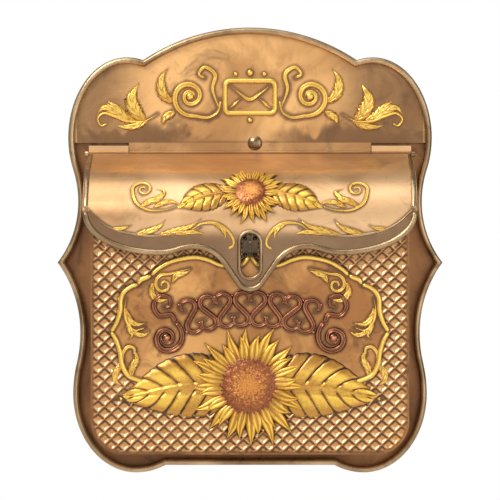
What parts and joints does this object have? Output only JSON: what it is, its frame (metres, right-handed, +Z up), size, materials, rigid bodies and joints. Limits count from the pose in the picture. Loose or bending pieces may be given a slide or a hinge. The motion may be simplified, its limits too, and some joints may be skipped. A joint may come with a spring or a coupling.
{
  "type": "wall mounted mailbox",
  "caption": "Wall mounted letter box of embossed sheet metal: shaped, rimmed back plate with header, box body, and hinged curved lid that closes over a padlock eye.",
  "frame": {"origin": "centre of the four wall screw holes, on the back face that lies against the wall", "axes": "+X across to the viewer's right, +Y into the wall, +Z up; the box stands out towards -Y"},
  "size_m": [0.308, 0.1038, 0.356],
  "materials": {
    "dark_sheet": "antique bronze lacquer over steel sheet, satin",
    "bronzed_sheet": "antique bronze lacquer rubbed through to gold, satin",
    "satin_sheet": "satin tan bronze lacquer",
    "rim_bronze": "olive bronze lacquer, semi-gloss",
    "brass_trim": "aged brass",
    "plain_steel": "plain drawn steel",
    "raised_gold": "gold lacquer on raised scrollwork, rubbed, dark in its hollows",
    "petal_gold": "yellow gold lacquer on raised petals and leaves, dark in their veins",
    "raised_copper": "copper red lacquer on raised scrolls, glossy",
    "seed_copper": "copper red lacquer on the embossed seed heads"
  },
  "bodies": {
    "box": {"back_plate": "dark_sheet", "rolled_rim": "rim_bronze", "rim_wire": "plain_steel", "header_panel": "bronzed_sheet", "header_spacer": "plain_steel", "dome_rivet": "brass_trim", "hinge_rod": "brass_trim", "rod_caps": "brass_trim", "side_band": "dark_sheet", "band_rivets": "plain_steel", "front_panel": "bronzed_sheet", "front_top_wire": "plain_steel", "hasp_eye": "brass_trim", "hasp_rivets": "brass_trim"},
    "lid": {"lid_shell": "satin_sheet", "lid_cheek_left": "satin_sheet", "lid_cheek_right": "satin_sheet", "lid_hem": "brass_trim", "lid_wire": "plain_steel"}
  },
  "joints": [
    {"name": "lid_hinge", "type": "hinge", "parent": "box", "child": "lid", "pos_m": [0, -0.01156, 0.077], "axis": [-1, 0, 0], "range_deg": [0, 75]}
  ]
}
